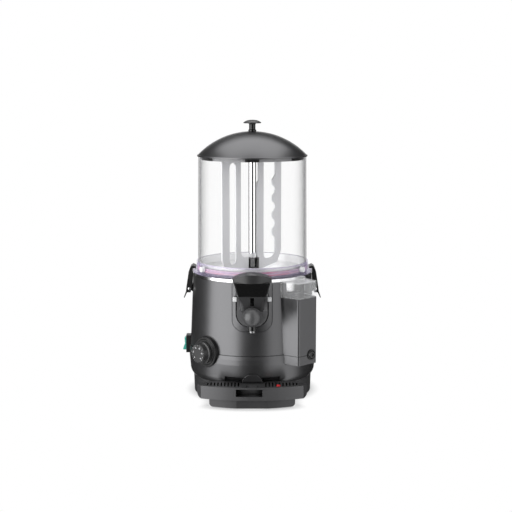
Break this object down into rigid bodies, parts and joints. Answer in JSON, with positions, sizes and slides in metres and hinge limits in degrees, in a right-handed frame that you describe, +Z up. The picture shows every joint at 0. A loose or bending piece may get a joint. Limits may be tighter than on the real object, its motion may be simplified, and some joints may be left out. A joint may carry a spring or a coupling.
{
  "type": "hot chocolate dispenser machine",
  "caption": "Counter-top hot chocolate dispenser: round heated body, clear stirred tank with domed lid, lever tap, latches, dial, water box and drip tray.",
  "frame": {"origin": "middle of the overall footprint at the height the feet stand on", "axes": "+Z up, -Y towards the user in front of the tap, +X to the user's right"},
  "size_m": [0.2966, 0.3382, 0.58],
  "materials": {
    "body_grey": "satin, lightly grained",
    "black_trim": "satin",
    "black_gloss": "polished",
    "clear_tank": "clear polished plastic",
    "clear_lilac": "clear plastic with a lilac tint",
    "clear_trim": "clear moulded plastic",
    "lid_smoke": "smoked plastic",
    "paddle_grey": "smooth food-grade plastic",
    "seal_red": "soft silicone",
    "polished_steel": "polished",
    "bright_chrome": "mirror bright",
    "plain_steel": "brushed",
    "foot_rubber": "matte",
    "gear_white": "natural acetal",
    "green_lens": "translucent",
    "float_red": "gloss",
    "heater_steel": "oxidised",
    "motor_grey": "painted"
  },
  "bodies": {
    "machine": {"base_pedestal": "body_grey", "bottom_cover": "black_trim", "rubber_feet": "foot_rubber", "deck_screws": "plain_steel", "lower_shell": "body_grey", "upper_shell": "body_grey", "bath_bowl": "polished_steel", "heating_element": "heater_steel", "chassis_plate": "plain_steel", "shaft_bushes": "gear_white", "gear_motor": "motor_grey", "central_column": "bright_chrome", "tank_cylinder": "clear_tank", "tank_base_collar": "clear_lilac", "tank_seal": "seal_red", "collar_pegs": "clear_trim", "tank_floor_pan": "polished_steel", "column_ferrule": "bright_chrome", "column_nut": "plain_steel", "tap_valve_body": "polished_steel", "tap_spring": "plain_steel", "tap_nozzle": "black_gloss", "spout_tip": "bright_chrome", "tap_cover": "black_trim", "tap_plate": "black_gloss", "tap_cap": "black_gloss", "tap_cheeks": "clear_trim", "tap_pivot_pin": "bright_chrome", "tap_pivot_bosses": "clear_trim", "latch_brackets": "black_trim", "latch_pins": "bright_chrome", "latch_springs": "plain_steel", "thermostat_bezel": "black_trim", "thermostat_body": "motor_grey", "switch_body": "black_trim", "drain_tube": "plain_steel", "mains_gland": "black_trim"},
    "agitator": {"drive_shaft": "plain_steel", "drive_gear": "gear_white", "mixing_paddle": "paddle_grey", "paddle_guide": "black_trim", "paddle_hub": "black_gloss"},
    "pinion": {"motor_pinion": "plain_steel"},
    "lid": {"lid_dome": "lid_smoke", "lid_ring": "paddle_grey", "lid_lugs": "black_trim", "lid_knob_stem": "black_gloss", "lid_knob": "black_gloss"},
    "lever": {"tap_lever": "black_gloss", "ball_knob": "black_gloss"},
    "piston": {"tap_piston": "bright_chrome"},
    "right_latch": {"latch_right": "black_trim"},
    "left_latch": {"latch_left": "black_trim"},
    "dial": {"thermostat_knob": "black_gloss"},
    "rocker": {"switch_rocker": "green_lens"},
    "filler_lid": {"filler_cover": "clear_trim"},
    "plug": {"drain_plug": "black_gloss"},
    "tray": {"drip_tray": "body_grey"},
    "grid": {"tray_grid": "body_grey"},
    "level_float": {"tray_float": "float_red"}
  },
  "joints": [
    {"name": "agitator_spin", "type": "hinge", "parent": "machine", "child": "agitator", "pos_m": [0, 0.0252, 0.3], "axis": [0, 0, 1], "continuous": true},
    {"name": "pinion_spin", "type": "hinge", "parent": "machine", "child": "pinion", "pos_m": [0.045, 0.0252, 0.1], "axis": [0, 0, 1], "continuous": true},
    {"name": "lid_lift", "type": "slide", "parent": "machine", "child": "lid", "axis": [0, 0, 1], "range_m": [0, 0.26]},
    {"name": "lever_swing", "type": "hinge", "parent": "machine", "child": "lever", "pos_m": [0, -0.1093, 0.221], "axis": [-1, 0, 0], "range_deg": [0, 30], "stiffness_Nm_per_rad": 0.6, "springref_deg": -28.65},
    {"name": "piston_lift", "type": "slide", "parent": "machine", "child": "piston", "axis": [0, 0, 1], "range_m": [0, 0.0066], "deforming": ["tap_spring"]},
    {"name": "right_latch_swing", "type": "hinge", "parent": "machine", "child": "right_latch", "pos_m": [0.1346, 0.0252, 0.222], "axis": [0, 1, 0], "range_deg": [0, 20], "stiffness_Nm_per_rad": 0.15, "springref_deg": -34.38},
    {"name": "left_latch_swing", "type": "hinge", "parent": "machine", "child": "left_latch", "pos_m": [-0.1346, 0.0252, 0.222], "axis": [0, -1, 0], "range_deg": [0, 20], "stiffness_Nm_per_rad": 0.15, "springref_deg": -34.38},
    {"name": "dial_turn", "type": "hinge", "parent": "machine", "child": "dial", "pos_m": [-0.10607, -0.08087, 0.103], "axis": [-0.7071, -0.7071, 0], "range_deg": [0, 270]},
    {"name": "rocker_tilt", "type": "hinge", "parent": "machine", "child": "rocker", "pos_m": [-0.138, 0.0252, 0.1005], "axis": [0, -1, 0], "range_deg": [0, 14]},
    {"name": "filler_lid_lift", "type": "slide", "parent": "machine", "child": "filler_lid", "axis": [0, 0, 1], "range_m": [0, 0.06]},
    {"name": "plug_pull", "type": "slide", "parent": "machine", "child": "plug", "axis": [0.6858, -0.7278, 0], "range_m": [0, 0.03]},
    {"name": "tray_slide", "type": "slide", "parent": "machine", "child": "tray", "axis": [0, -1, 0], "range_m": [0, 0.06]},
    {"name": "grid_lift", "type": "slide", "parent": "tray", "child": "grid", "axis": [0, 0, 1], "range_m": [0, 0.008]},
    {"name": "float_rise", "type": "slide", "parent": "tray", "child": "level_float", "axis": [0, 0, 1], "range_m": [0, 0.01]}
  ],
  "couplings": [
    {"joint": "pinion_spin", "follows": "agitator_spin", "ratio": -4},
    {"joint": "piston_lift", "follows": "lever_swing", "m_per_rad": 0.0122}
  ]
}
